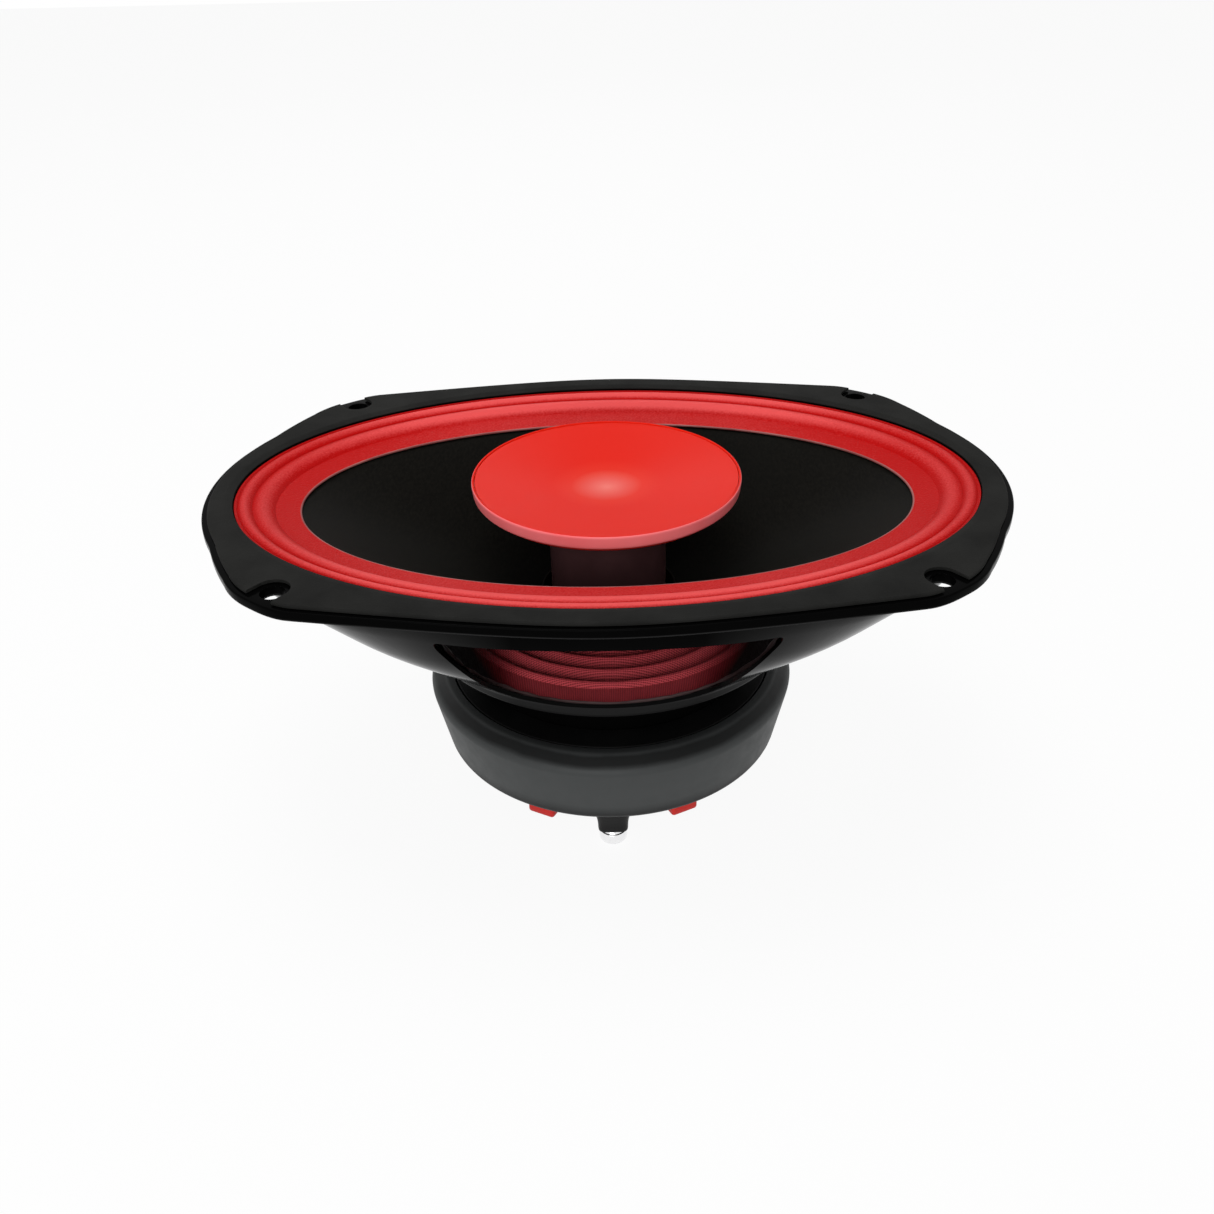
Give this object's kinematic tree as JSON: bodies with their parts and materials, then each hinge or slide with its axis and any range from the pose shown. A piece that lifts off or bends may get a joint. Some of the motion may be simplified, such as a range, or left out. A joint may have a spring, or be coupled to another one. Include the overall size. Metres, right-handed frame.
{
  "type": "coaxial car speaker",
  "caption": "Oval coaxial car speaker: a flanged steel basket with a cloth-edged cone, spider and magnet motor, and a dished high driver on a post over its centre.",
  "frame": {"origin": "centre of the mounting plane, the underside of the basket's flange", "axes": "+X along the oval's long axis, +Y along its short axis towards the terminals, +Z out of the cone's mouth"},
  "size_m": [0.237, 0.167, 0.1034],
  "materials": {
    "basket_black": "gloss",
    "plate_black": "satin coat",
    "gasket_grey": "matte",
    "red_cloth": "coated cloth",
    "spider_red": "resin-stiffened weave",
    "cone_black": "coated pulp",
    "dish_red": "satin",
    "post_black": "satin",
    "boot_rubber": "matte",
    "ferrite": "ground",
    "plated_steel": "zinc plated",
    "polished_steel": "polished",
    "kapton_brown": "film",
    "copper": "enamelled copper",
    "board_tan": "laminate board",
    "brass": "tinned",
    "capacitor_sleeve": "shrink sleeve"
  },
  "bodies": {
    "frame": {"basket": "basket_black", "gasket_ring": "gasket_grey", "surround": "red_cloth", "spider": "spider_red", "top_plate": "plate_black", "magnet": "ferrite", "pole_and_back_plate": "plate_black", "magnet_boot": "boot_rubber", "basket_rivet_1": "plated_steel", "basket_rivet_2": "plated_steel", "basket_rivet_3": "plated_steel", "basket_rivet_4": "plated_steel", "tweeter_post": "post_black", "tweeter_frame": "dish_red", "tweeter_edge": "red_cloth", "tweeter_yoke": "plated_steel", "tweeter_magnet": "plated_steel", "tweeter_pole_plate": "plated_steel", "crossover_capacitor": "capacitor_sleeve", "bolt_washer": "plated_steel", "post_bolt": "plated_steel", "brace_boss": "post_black", "brace_stud": "polished_steel", "left_bumper": "dish_red", "right_bumper": "dish_red", "terminal_board": "board_tan", "terminal_rivet": "plated_steel", "positive_terminal": "brass", "negative_terminal": "brass", "positive_lead": "copper", "negative_lead": "copper"},
    "cone_assembly": {"cone": "cone_black", "voice_coil_former": "kapton_brown", "voice_coil": "copper"},
    "tweeter_moving": {"tweeter_diaphragm": "dish_red", "tweeter_coil": "copper"}
  },
  "joints": [
    {"name": "cone_travel", "type": "slide", "parent": "frame", "child": "cone_assembly", "axis": [0, 0, 1], "range_m": [-0.005, 0.005], "stiffness_N_per_m": 4000, "deforming": ["surround", "spider", "positive_lead", "negative_lead"]},
    {"name": "tweeter_travel", "type": "slide", "parent": "frame", "child": "tweeter_moving", "axis": [0, 0, 1], "range_m": [-0.0004, 0.0004], "stiffness_N_per_m": 1500}
  ]
}
